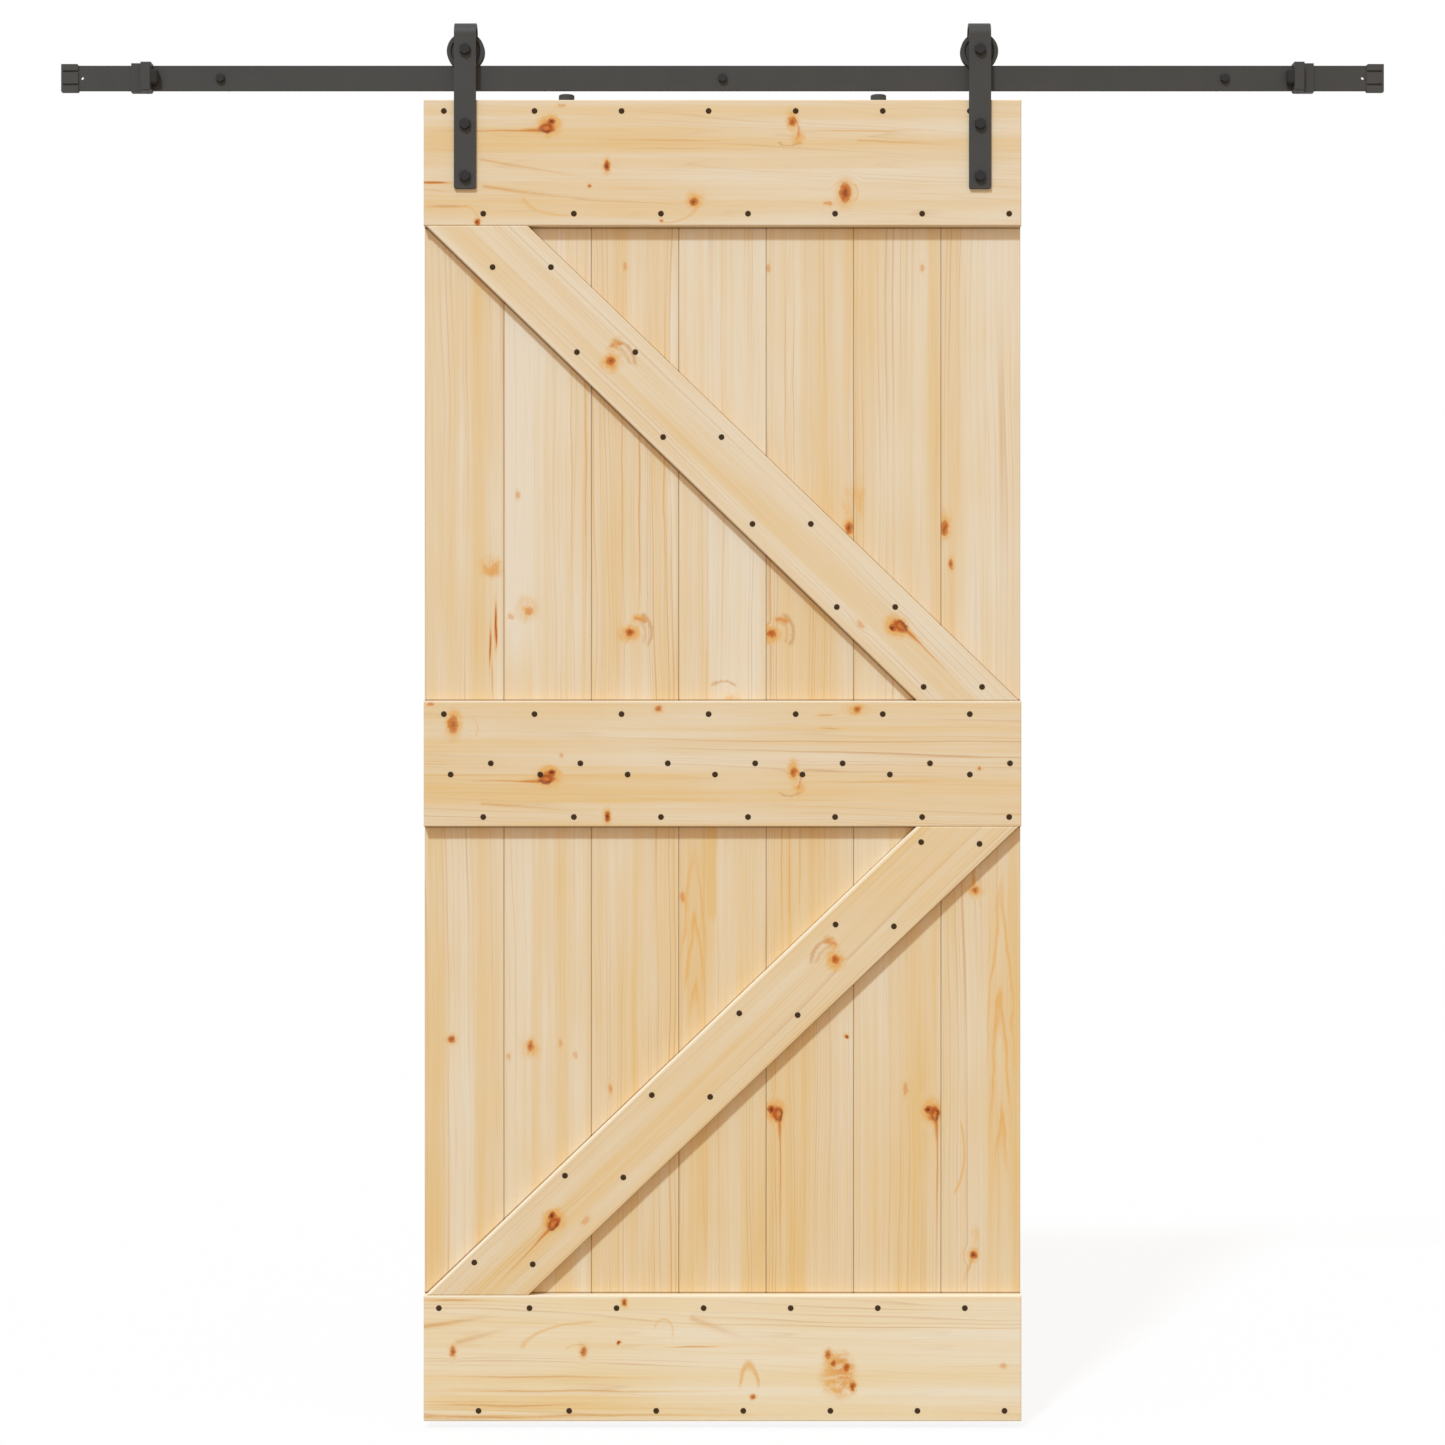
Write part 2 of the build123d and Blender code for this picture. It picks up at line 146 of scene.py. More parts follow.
class Graph:
    """The node tree of one material or world."""

    def __init__(self, tree: bpy.types.NodeTree) -> None:
        """Start from an empty tree."""
        self.tree = tree
        tree.nodes.clear()

    def add(self, kind: str, settings: dict[str, Any], sockets: dict[Any, Any]) -> bpy.types.Node:
        """Add a node, set it up and feed its inputs.

        Args:
            kind: The node's type.
            settings: Its properties, or "stops" as (place, colour) pairs for a ramp.
            sockets: Values, colours or links by input name or number.

        Returns:
            The node.
        """
        node = self.tree.nodes.new(kind)
        for name, setting in settings.items():
            if name == "stops":
                self._set_stops(node.color_ramp, setting)
            else:
                setattr(node, name, setting)
        for name, feed in sockets.items():
            if isinstance(feed, Signal):
                self.tree.links.new(feed.socket, node.inputs[name])
            elif isinstance(feed, tuple) and node.inputs[name].type == "RGBA":
                node.inputs[name].default_value = (*feed, 1.0)
            else:
                node.inputs[name].default_value = feed
        return node

    def value(
        self, kind: str, settings: dict[str, Any], sockets: dict[Any, Any], output: Any = 0
    ) -> Signal:
        """Add a node as add does, and return one of its outputs as a signal."""
        return Signal(self, self.add(kind, settings, sockets).outputs[output])

    def maths(self, operation: str, *operands: Operand) -> Signal:
        """Add one Math node on signals and numbers."""
        return self.value("ShaderNodeMath", {"operation": operation}, dict(enumerate(operands)))

    def blend(self, factor: Operand, low: Any, high: Any, mode: str = "MIX") -> Signal:
        """Mix two colours, as signals or linear colours, by a factor that is 1 for the second."""
        sockets = {0: factor, MIX_FIRST: low, MIX_SECOND: high}
        return self.value("ShaderNodeMix", {"data_type": "RGBA", "blend_type": mode}, sockets, MIX_RESULT)

    def vector(self, operation: str, first: Any, second: Any, output: Any = 0) -> Signal:
        """Add one Vector Math node on signals and plain vectors."""
        return self.value("ShaderNodeVectorMath", {"operation": operation}, {0: first, 1: second}, output)

    def dot(self, first: Any, second: Any) -> Signal:
        """Dot product of two vectors."""
        return self.vector("DOT_PRODUCT", first, tuple(second), "Value")

    def joined(self, x: Operand, y: Operand, z: Operand) -> Signal:
        """A vector of three values."""
        return self.value("ShaderNodeCombineXYZ", {}, {0: x, 1: y, 2: z})

    def noise(
        self, place: Signal, stretch: Triple, detail: float = 2.0, rough: float = 0.5, output: Any = 0
    ) -> Signal:
        """Noise from 0 to 1 on a stretched place.

        Args:
            place: The vector to read.
            stretch: Features per unit along its three axes.
            detail: Finer layers on top of the first.
            rough: Strength of the finer layers.
            output: The node's value, or its colour for three values.

        Returns:
            The noise.
        """
        scaled = self.vector("MULTIPLY", place, stretch)
        sockets = {"Vector": scaled, "Scale": 1.0, "Detail": detail, "Roughness": rough}
        return self.value("ShaderNodeTexNoise", {}, sockets, output)

    def ramp(self, place: Operand, *stops: tuple[float, float]) -> Signal:
        """A curve through (place, level) stops, read at a signal."""
        return self.palette(place, *((at, (level, level, level)) for at, level in stops))

    def palette(self, place: Operand, *stops: tuple[float, Colour]) -> Signal:
        """A run of colours through (place, colour) stops, read at a signal."""
        filled = [(at, (*colour, 1.0)) for at, colour in stops]
        return self.value("ShaderNodeValToRGB", {"stops": filled}, {"Fac": place})

    def coordinate(self, name: str) -> Signal:
        """One output of the Texture Coordinate node."""
        return self.value("ShaderNodeTexCoord", {}, {}, name)

    def place_mm(self) -> Signal:
        """The place on the object in millimetres."""
        return self.vector("MULTIPLY", self.coordinate("Object"), (1 / MM,) * 3)

    def surface(self, colour: Signal, roughness: Signal, shine: float, relief: dict[str, Any]) -> None:
        """Join a Principled shader to the material's output.

        Args:
            colour: The base colour.
            roughness: The gloss's roughness.
            shine: The gloss's strength.
            relief: The Bump node's height, strength and distance.
        """
        bump = self.value("ShaderNodeBump", {}, relief)
        gloss = {"Roughness": roughness, "Specular IOR Level": shine}
        sockets = {"Base Color": colour, "Normal": bump, **gloss}
        shader = self.value("ShaderNodeBsdfPrincipled", {}, sockets)
        self.add("ShaderNodeOutputMaterial", {}, {"Surface": shader})

    @staticmethod
    def _set_stops(ramp: bpy.types.ColorRamp, stops: Iterable[tuple[float, Sequence[float]]]) -> None:
        """Give a colour ramp its stops.

        Args:
            ramp: The ramp, which starts with two stops.
            stops: Places from 0 to 1 with their colours.
        """
        wanted = list(stops)
        while len(ramp.elements) < len(wanted):
            ramp.elements.new(1.0)
        for element, (place, colour) in zip(ramp.elements, wanted):
            element.position = place
            element.color = colour


def new_material(name: str) -> tuple[bpy.types.Material, Graph]:
    """Make a node material.

    Args:
        name: The material's name.

    Returns:
        The material and its empty graph.
    """
    material = bpy.data.materials.new(name)
    material.use_nodes = True
    return material, Graph(material.node_tree)


class GrainRun(Enum):
    """Which way a board's grain runs, as a direction in X and Z."""

    UPRIGHT = (0.0, 1.0)
    LEVEL = (1.0, 0.0)
    FALLING = (0.7190, -0.6950)
    RISING = (0.7240, 0.6898)

    @property
    def along(self) -> Vector:
        """Direction of the grain."""
        x, z = self.value
        return Vector((x, 0.0, z))

    @property
    def across(self) -> Vector:
        """Direction across the grain, on the board's face."""
        x, z = self.value
        return Vector((z, 0.0, -x))


class Grain:
    """Grain coordinates of one board in millimetres, and the masks that its marks are laid into.

    Stains run from the palest to the darkest: glow, line, body, core and dark. The tone mask makes the
    wood paler or more honey-coloured. Marks also bend the growth rings across the grain (bend) and
    close rings round themselves (lift).
    """

    def __init__(self, graph: Graph, node: str, run: GrainRun, seed: float, door_top: float) -> None:
        """Measure the board and set up its coordinates.

        Args:
            graph: The material's graph.
            node: The board's node.
            run: The grain's direction.
            seed: A number that makes this board differ from the others.
            door_top: Height of the door's top edge in millimetres.
        """
        low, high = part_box(node)
        self.graph = graph
        self.run = run
        self.door_top = door_top
        self.centre = (Vector(low) + Vector(high)) / 2 / MM
        self.place = graph.vector("SUBTRACT", graph.place_mm(), tuple(self.centre))
        self.along = graph.dot(self.place, run.along)
        self.across = graph.dot(self.place, run.across)
        self.into = graph.dot(self.place, INTO)
        self.local = graph.joined(self.along + seed * GRAIN_SHIFT, self.across, self.into)
        self.ragged = self._stirred((0.09, 0.11, 0.02), 4.0, (10.0, 9.0, 0.0))
        self.flowing = self._stirred((0.007, 0.02, 0.01), 2.0, (12.0, 9.0, 0.0))
        self.masks: dict[str, Signal] = {}

    def _stirred(self, stretch: Triple, detail: float, amount: Triple) -> Signal:
        """Coordinates along and across the grain, pushed about by noise.

        Args:
            stretch: The noise's features per millimetre.
            detail: Its finer layers.
            amount: How far it pushes, in millimetres.

        Returns:
            The coordinates as a vector.
        """
        graph = self.graph
        stir = graph.noise(self.local, stretch, detail, 0.65, "Color")
        shift = graph.vector("MULTIPLY", graph.vector("SUBTRACT", stir, (0.5,) * 3), amount)
        return graph.vector("ADD", graph.joined(self.along, self.across, 0.0), shift)

    def lay(self, mask: str, amount: Signal) -> None:
        """Add an amount to one of the masks."""
        self.masks[mask] = self.added(amount, mask)

    def added(self, base: Signal, mask: str) -> Signal:
        """A signal with a mask added to it, if anything was laid into that mask."""
        return base + self.masks[mask] if mask in self.masks else base

    def turned(self, right: float, up: float) -> Triple:
        """Parts along and across the grain of a direction on the door's face, and zero."""
        way = Vector((right, 0.0, up))
        return way.dot(self.run.along), way.dot(self.run.across), 0.0

    def offset(self, across: float, drop: float, ragged: bool = True) -> Signal:
        """Ragged or flowing grain coordinates, measured from a spot on the door's face."""
        spot = self.turned(across - self.centre.x, self.door_top - drop - self.centre.z)
        return self.graph.vector("SUBTRACT", self.ragged if ragged else self.flowing, spot)

    def length(self, place: Signal) -> Signal:
        """Length of a vector."""
        return self.graph.value("ShaderNodeVectorMath", {"operation": "LENGTH"}, {0: place}, "Value")

    def reach(self, offset: Signal, long: float, wide: float) -> Signal:
        """Distance from a spot, where 1 lies on an oval of the half sizes given."""
        return self.length(self.graph.vector("MULTIPLY", offset, (1 / long, 1 / wide, 0.0)))


@dataclass(frozen=True)
class Mark(ABC):
    """Something that stains or bends the grain, placed on the door's face in millimetres.

    Its place is given across from the door's middle and down from its top edge. Half sizes are
    given across the grain (wide) and along it (long).
    """

    across: float
    drop: float
    wide: float
    long: float
    tone: float = 0.6

    @abstractmethod
    def lay(self, grain: Grain) -> None:
        """Lay the mark into a board's masks.

        Args:
            grain: The board's grain.
        """

    def oval(self, grain: Grain, ragged: bool = True) -> tuple[Signal, Signal]:
        """Grain coordinates from the mark's middle, and the distance that is 1 on its oval."""
        offset = grain.offset(self.across, self.drop, ragged)
        return offset, grain.reach(offset, self.long, self.wide)


class Knot(Mark):
    """The foot of a branch: a stained oval with a glow round it, which the rings swing past."""

    def lay(self, grain: Grain) -> None:
        """Stain the oval and bend the rings round it."""
        offset, reach = self.oval(grain)
        grain.lay("glow", reach.step(2.4, 0.7) * min(1.0, 1.1 * self.tone))
        grain.lay("body", reach.step(1.25, 0.75) * min(1.0, 1.3 * self.tone))
        depth = max(0.0, 1.7 * self.tone - 0.7)
        if depth > 0:
            grain.lay("core", reach.step(0.95, 0.45) * depth)
            grain.lay("dark", (reach.step(0.55, 0.15) + abs(reach - 0.95).step(0.2, 0.0) * 0.4) * depth)
        pull = reach.step(3.6, 0.0)
        grain.lay("bend", grain.graph.dot(offset, (0.0, -0.55, 0.0)) * pull)
        grain.lay("lift", pull * (0.4 + 0.05 * self.wide))


class Streak(Mark):
    """A spindle of resin along the grain."""

    def lay(self, grain: Grain) -> None:
        """Stain a thin spindle."""
        _, reach = self.oval(grain, False)
        grain.lay("glow", reach.step(1.8, 0.4) * self.tone)
        grain.lay("line", reach.step(1.0, 0.3) * self.tone)
        if self.tone > 0.6:
            grain.lay("body", reach.step(1.0, 0.4) * self.tone)
            grain.lay("core", reach.step(0.85, 0.2) * (1.6 * self.tone - 0.8))


@dataclass(frozen=True)
class Blotch(Mark):
    """A broken patch of warm stain."""

    layer: str = "glow"

    def lay(self, grain: Grain) -> None:
        """Stain a patch broken up by noise."""
        _, reach = self.oval(grain)
        broken = grain.graph.noise(grain.local, (0.06, 0.12, 0.02), 3.0, 0.65).step(0.36, 0.62)
        grain.lay(self.layer, reach.step(1.25, 0.35) * (broken * 0.75 + 0.25) * self.tone)


class Band(Mark):
    """A strip of paler wood, or of more honey-coloured wood where the tone is negative."""

    def lay(self, grain: Grain) -> None:
        """Shift the tone in a strip with sharp sides and soft ends."""
        offset = grain.offset(self.across, self.drop, False)
        side = abs(grain.graph.dot(offset, (0.0, 1.0, 0.0)))
        ahead = abs(grain.graph.dot(offset, (1 / self.long, 0.0, 0.0)))
        grain.lay("tone", side.step(self.wide + 2.5, self.wide - 2.5) * ahead.step(1.2, 0.7) * self.tone)


@dataclass(frozen=True)
class Tail(Mark):
    """A resin line that starts dark and fades, with its heading in degrees clockwise from up."""

    heading: float = 180.0

    def lay(self, grain: Grain) -> None:
        """Stain the line and a faint glow beside it."""
        turn = math.radians(self.heading)
        offset = grain.offset(self.across, self.drop, False)
        ahead = grain.turned(math.sin(turn) / self.long, math.cos(turn) / self.long)
        aside = grain.turned(math.cos(turn) / self.wide, -math.sin(turn) / self.wide)
        share = grain.graph.dot(offset, ahead)
        side = abs(grain.graph.dot(offset, aside))
        fade = share.step(-0.01, 0.03) * share.step(1.0, 0.1)
        grain.lay("glow", side.step(3.0, 0.5) * fade * self.tone)
        grain.lay("line", side.step(1.2, 0.4) * fade * self.tone)
        if self.tone > 0.6:
            grain.lay("body", side.step(1.0, 0.3) * fade * (0.7 * self.tone))


@dataclass(frozen=True)
class Arc(Mark):
    """Part of an oval ring line, such as grain that swings round a knot.

    The heading is where the arc lies as seen from the oval's middle, in degrees clockwise from
    straight up on the door. The spread is half the angle that it covers.
    """

    heading: float = 0.0
    spread: float = 60.0
    thick: float = 2.5
    layer: str = "glow"
    ragged: bool = False

    def lay(self, grain: Grain) -> None:
        """Stain the arc."""
        turn = math.radians(self.heading)
        offset = grain.offset(self.across, self.drop, self.ragged)
        scaled = grain.graph.vector("MULTIPLY", offset, (1 / self.long, 1 / self.wide, 0.0))
        reach = grain.length(scaled)
        line = abs(reach - 1.0).step(self.thick / min(self.wide, self.long), 0.0) * self.tone
        if self.spread < 180.0:
            facing = grain.graph.dot(scaled, grain.turned(math.sin(turn), math.cos(turn))) / reach
            edge = math.cos(math.radians(self.spread))
            line = line * facing.step(edge, edge + 0.4 * (1 - edge))
        grain.lay(self.layer, line)


@dataclass(frozen=True)
class Flame(Mark):
    """Nested arches of grain inside an oval window, with a gap between arches and their slope."""

    gap: float = 7.0
    slope: float = 0.06

    def lay(self, grain: Grain) -> None:
        """Stain the arches' late wood."""
        graph = grain.graph
        offset, reach = self.oval(grain, False)
        along = graph.dot(offset, (1.0, 0.0, 0.0))
        sway = graph.noise(grain.local, (0.012, 0.03, 0.02)) - 0.5
        side = graph.dot(offset, (0.0, 1.0, 0.0)) + sway * 22.0
        phase = (side * side + 40.0).root() / self.gap + along * (self.slope / self.gap)
        line = graph.ramp(phase.fraction(), (0.0, 0.1), (0.5, 0.0), (0.85, 1.0), (1.0, 0.1))
        grain.lay("glow", line * reach.step(1.0, 0.5) * self.tone)


@dataclass(frozen=True)
class Cluster:
    """Several marks that lie together, laid out round a spot and turned with it.

    The turn is in degrees clockwise, and a mirrored cluster is flipped left to right first.
    """

    across: float
    drop: float
    turn: float = 0.0
    mirrored: bool = False

    def at(self, right: float, up: float) -> Place:
        """Find a point of the layout on the door.

        Args:
            right: Its place to the right of the spot.
            up: Its place above the spot.

        Returns:
            Its place across from the door's middle and down from its top edge.
        """
        turn = math.radians(self.turn)
        right = -right if self.mirrored else right
        return (
            self.across + right * math.cos(turn) + up * math.sin(turn),
            self.drop - up * math.cos(turn) + right * math.sin(turn),
        )

    def heading(self, degrees: float) -> float:
        """Heading on the door of a heading in the layout."""
        return self.turn + (-degrees if self.mirrored else degrees)

    def eye(self) -> tuple[Mark, ...]:
        """A red dot, with brown arcs that swing round its far side."""
        return (
            Knot(*self.at(0, 0), 6.4, 6.0, 0.68),
            Blotch(*self.at(-1, -1), 11, 10, 0.7, "body"),
            Blotch(*self.at(-1, -2), 20, 17, 1.5),
            Blotch(*self.at(17, 22), 17, 9, 1.0),
            Arc(*self.at(13, 5), 17, 17, 0.65, self.heading(15), 40, 5.0, "body", True),
            Arc(*self.at(11, -1), 14, 22, 0.4, self.heading(75), 62, 4.5, "line", True),
            Arc(*self.at(10, 0), 25, 31, 0.65, self.heading(75), 62, 5.0, "line", True),
        )

    def burl(self, tail: float) -> tuple[Mark, ...]:
        """Lay out a dark core with a bright ring beside it and a resin line that runs off.

        Args:
            tail: Length of the resin line.

        Returns:
            The marks.
        """
        return (
            Blotch(*self.at(1, 2), 20, 22, 1.3),
            Blotch(*self.at(0, 1), 14, 16, 1.6),
            Blotch(*self.at(4, -2), 10, 12, 1.0, "body"),
            Knot(*self.at(2, 0), 10, 12, 0.4),
            Knot(*self.at(-5, 4), 5.6, 6.0, 0.95),
            Arc(*self.at(6, -4), 5.0, 8.5, 0.8, spread=180, thick=4.4, layer="core", ragged=True),
            Arc(*self.at(6, -4), 5.5, 9.5, 0.5, self.heading(100), 60, 2.6, "dark", True),
            Tail(*self.at(8, -12), 2.8, 40, 0.75, self.heading(180)),
            Tail(*self.at(9, -12), 1.2, tail, 0.65, self.heading(180)),
        )

    def feather(self) -> tuple[Mark, ...]:
        """An orange spot with a curved wing below it."""
        return (
            Knot(*self.at(0, 0), 8.0, 5.5, 0.66),
            Blotch(*self.at(-1, 4), 22, 11, 1.0),
            Arc(*self.at(-9, -14), 22, 20, 0.6, self.heading(80), 55, 3.0, "body", True),
            Arc(*self.at(-6, -30), 8, 18, 0.6, self.heading(180), 80, 2.4, "line", True),
            Blotch(*self.at(9, -26), 14, 13, 1.0),
        )


@dataclass(frozen=True)
class Contact:
    """The edge of a board that lies on the planks, beside which a thin line of painted shade lies on them.

    The point lies on the edge in millimetres, and the normal points away from the board.
    """

    point: Vector
    normal: Vector

    def gap(self, grain: Grain) -> Signal:
        """Distance from the edge, away from the board."""
        return grain.graph.dot(grain.place, self.normal) - (self.point - grain.centre).dot(self.normal)

    def shade(self, grain: Grain) -> Signal:
        """The mask of the thin line of painted shade on a plank's front."""
        gap = self.gap(grain)
        return gap.step(-0.6, 0.0) * gap.step(3.4, 1.2) * grain.into.step(2.0, -4.0)

    def arris_highlight(self, grain: Grain) -> Signal:
        """The mask of the painted highlight on the board's own side of the edge."""
        return self.gap(grain).step(-4.6, -2.6)


@dataclass(frozen=True)
class PineTones:
    """Colours of dry pine, from honey to pale, of its growth lines and of the stains round knots, and the
    colours of painted shade and of a painted highlight along edges.

    The shares say how strongly end grain takes its colour, and how strong the painted shade is beside the
    edges of boards that lie on the planks and on the chamfers along plank seams.
    """

    honey: Colour = linear(229, 191, 130)
    cream: Colour = linear(230, 203, 162)
    pale: Colour = linear(233, 216, 189)
    line: Colour = linear(200, 146, 86)
    glow: Colour = linear(229, 177, 106)
    body: Colour = linear(212, 122, 46)
    core: Colour = linear(162, 66, 20)
    dark: Colour = linear(78, 42, 20)
    end: Colour = linear(208, 164, 110)
    # Colour of the painted shade beside boards that lie on the planks and on the plank chamfers
    seam: Colour = linear(118, 78, 44)
    # Colour of the painted highlight along a board's upper edge
    arris_highlight: Colour = linear(243, 227, 198)
    end_share: float = 0.55
    joint_shade_share: float = 0.7
    chamfer_shade_share: float = 0.28


@dataclass(frozen=True)
class PineBoard:
    """The finish of one pine board: where its heart lay, its rings, its tone and its marks.

    The heart is the log's centre line behind the board's face: off to one side, and at a depth.
    The tone runs from 0 for honey to 1 for pale, and changes by fall over 1 m along the grain.
    The highlight share is how strongly a painted highlight lies along the board's upper edge.
    """

    node: str
    seed: float
    heart_side: float
    run: GrainRun = GrainRun.UPRIGHT
    heart_depth: float = 70.0
    ring_gap: float = 7.5
    taper: float = 0.004
    tone: float = 0.5
    fall: float = 0.0
    lines: float = 0.95
    highlight_share: float = 0.0
    marks: tuple[Mark, ...] = ()
    tones: PineTones = PineTones()

    def edges(self) -> list[Contact]:
        """The board's two long edges, with the upper one first."""
        low, high = (Vector(corner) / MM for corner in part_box(self.node))
        up = -self.run.across
        falling = self.run is GrainRun.FALLING
        left = Vector((low.x, low.y, high.z if falling else low.z))
        right = Vector((high.x, low.y, low.z if falling else high.z))
        upper, lower = (left, right) if self.run is GrainRun.RISING else (right, left)
        return [Contact(upper, up), Contact(lower, -up)]

    def material(self, door_top: float, contacts: Sequence[Contact] = ()) -> bpy.types.Material:
        """Build the board's material.

        Args:
            door_top: Height of the door's top edge in millimetres.
            contacts: Edges of boards that lie on this one, beside which painted shade is laid.

        Returns:
            The material.
        """
        material, graph = new_material(f"pine_{self.node}")
        tones = self.tones
        grain = Grain(graph, self.node, self.run, self.seed, door_top)
        for mark in self.marks:
            mark.lay(grain)
        late = self._late_wood(grain)
        fibre = graph.noise(grain.local, (0.012, 0.75, 0.75), 3.0, 0.6)
        normal = graph.coordinate("Normal")
        end = abs(graph.dot(normal, self.run.along)).step(0.55, 0.9)
        colour = self._ground(grain, fibre)
        colour = graph.blend((late * (end * 0.5 + self.lines)).clamped(), colour, tones.line)
        colour = self._stain(grain, colour)
        colour = graph.blend(end * tones.end_share, colour, tones.end)
        # Painted shade: a thin dark line on the planks beside the edges of boards that lie on them, and a
        # darker tint on the chamfers of the plank seams
        if contacts:
            slant = abs(graph.dot(normal, self.run.across) * graph.dot(normal, INTO))
            chamfer_shade = slant.step(0.25, 0.45) * tones.chamfer_shade_share
            painted_shade = sum((contact.shade(grain) for contact in contacts), chamfer_shade)
            colour = graph.blend((painted_shade * tones.joint_shade_share).clamped(), colour, tones.seam)
        # Painted highlight: a pale strip along the board's upper edge, where the light would catch it
        if self.highlight_share:
            colour = graph.blend(self.edges()[0].arris_highlight(grain) * self.highlight_share, colour, tones.arris_highlight)
        relief = {"Height": fibre * 0.5 + late * 0.5, "Strength": 0.3, "Distance": 0.0002}
        graph.surface(colour, 0.66 - late * 0.12, 0.25, relief)
        return material

    def _late_wood(self, grain: Grain) -> Signal:
        """Draw the lines of late wood round the heart.

        Args:
            grain: The board's grain, with its marks laid.

        Returns:
            The lines' mask, from 0 to 1.
        """
        graph = grain.graph
        sway = graph.noise(grain.local, (0.0016, 0.009, 0.009), 2.0, 0.5)
        ripple = graph.noise(grain.local, (0.007, 0.05, 0.05), 2.0, 0.55)
        side = grain.across + (sway - 0.5) * 30.0 + (ripple - 0.5) * 3.0 - self.heart_side
        side = grain.added(side, "bend")
        depth = grain.into - self.heart_depth
        radius = (side * side + depth * depth).root()
        uneven = graph.noise(graph.joined(radius, self.seed * RING_SHIFT, 0.0), (0.045, 1.0, 1.0), 1.0)
        count = (radius + grain.along * self.taper) / self.ring_gap + (uneven - 0.5) * 5.0
        count = grain.added(count, "lift")
        ring = count.whole() + self.seed * LINE_SHIFT
        each = graph.value("ShaderNodeTexWhiteNoise", {"noise_dimensions": "1D"}, {"W": ring})
        line = graph.ramp(count.fraction(), (0.0, 0.0), (0.6, 0.04), (0.82, 0.5), (0.91, 1.0), (1.0, 0.0))
        patch = graph.noise(grain.local, (0.0018, 0.013, 0.013), 2.0).step(0.38, 0.66)
        return line * (each * each * 0.9 + 0.1) * (patch * 0.85 + 0.15)

    def _ground(self, grain: Grain, fibre: Signal) -> Signal:
        """Colour the wood between its lines, with sharp strips along the grain, clouds and fibres.

        Args:
            grain: The board's grain, with its marks laid.
            fibre: Noise drawn out along the grain.

        Returns:
            The colour.
        """
        graph = grain.graph
        wide = graph.noise(grain.local, (0.0005, 0.02, 0.02), 2.0, 0.5).step(0.38, 0.62)
        narrow = graph.noise(grain.local, (0.0009, 0.06, 0.06), 3.0, 0.6).step(0.36, 0.64)
        cloud = graph.noise(grain.local, (0.004, 0.014, 0.014), 2.0, 0.5)
        tone = (wide - 0.5) * 0.26 + (narrow - 0.5) * 0.28 + (cloud - 0.5) * 0.6 + (fibre - 0.5) * 0.4
        tone = grain.added(tone + self.tone, "tone")
        if self.fall:
            tone = tone + grain.along * (self.fall / 1000.0)
        tones = self.tones
        colour = graph.palette(tone.clamped(), (0.0, tones.honey), (0.5, tones.cream), (1.0, tones.pale))
        resin = graph.noise(grain.local, (0.005, 0.6, 0.6), 1.0).step(0.64, 0.76)
        return graph.blend(resin * 0.22, colour, tones.line)

    def _stain(self, grain: Grain, colour: Signal) -> Signal:
        """Lay the marks' masks over the wood, from the palest stain to the darkest.

        Args:
            grain: The board's grain, with its marks laid.
            colour: The wood's colour so far.

        Returns:
            The stained colour.
        """
        graph = grain.graph
        mottle = graph.noise(grain.local, (0.10, 0.25, 0.25), 3.0, 0.6)
        for name in ("glow", "line", "body", "core", "dark"):
            if name in grain.masks:
                share = (grain.masks[name] * (mottle * 0.8 + 0.55)).clamped()
                colour = graph.blend(share, colour, getattr(self.tones, name))
        return colour


@dataclass(frozen=True)
class Coating:
    """A dark coated or moulded finish with a fine texture."""

    name: str
    colour: Colour
    roughness: float
    grain_mm: float
    relief_mm: float
    mottle: float = 0.15
    shine: float = 0.5

    def material(self) -> bpy.types.Material:
        """Build the coating's material."""
        material, graph = new_material(self.name)
        place = graph.place_mm()
        peel = graph.noise(place, (1 / self.grain_mm,) * 3, 2.0, 0.5)
        cloud = graph.noise(place, (0.02, 0.02, 0.02), 3.0, 0.6)
        shade = graph.ramp(cloud * 0.7 + peel * 0.3, (0.3, 1 - self.mottle), (0.7, 1.0))
        relief = {"Height": peel, "Strength": 0.35, "Distance": self.relief_mm * MM}
        colour = graph.blend(1.0, self.colour, shade, "MULTIPLY")
        graph.surface(colour, (cloud - 0.5) * 0.2 + self.roughness, self.shine, relief)
        return material


def paint(node: str, material: bpy.types.Material) -> None:
    """Put a material in every slot of a CAD node."""
    for slot in frame["nodes"][node].material_slots:
        slot.material = material


def middle(node: str) -> Vector:
    """Middle of a CAD node's box, in metres."""
    low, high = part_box(node)
    return (Vector(low) + Vector(high)) / 2


def placed(name: str, data: bpy.types.ID) -> bpy.types.Object:
    """Put data into the scene as a new object.

    Args:
        name: The object's name.
        data: A mesh, light or camera.

    Returns:
        The object.
    """
    item = bpy.data.objects.new(name, data)
    bpy.context.scene.collection.objects.link(item)
    return item


def to_object(name: str, mesh: bmesh.types.BMesh, material: bpy.types.Material, body: str) -> None:
    """Turn a finished bmesh into a steel piece that rides on a body.

    Args:
        name: The piece's name.
        mesh: The geometry, in metres in the shared frame. It is freed.
        material: The piece's finish.
        body: The CAD body that it moves with.
    """
    bmesh.ops.remove_doubles(mesh, verts=mesh.verts, dist=WELD_DISTANCE)
    bmesh.ops.recalc_face_normals(mesh, faces=mesh.faces)
    data = bpy.data.meshes.new(name)
    mesh.to_mesh(data)
    mesh.free()
    data.shade_smooth()
    data.set_sharp_from_angle(angle=SHARP_ANGLE)
    data.materials.append(material)
    piece = placed(name, data)
    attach(piece, body)
    LOG.info("piece %s: %d faces on %s", name, len(data.polygons), body)


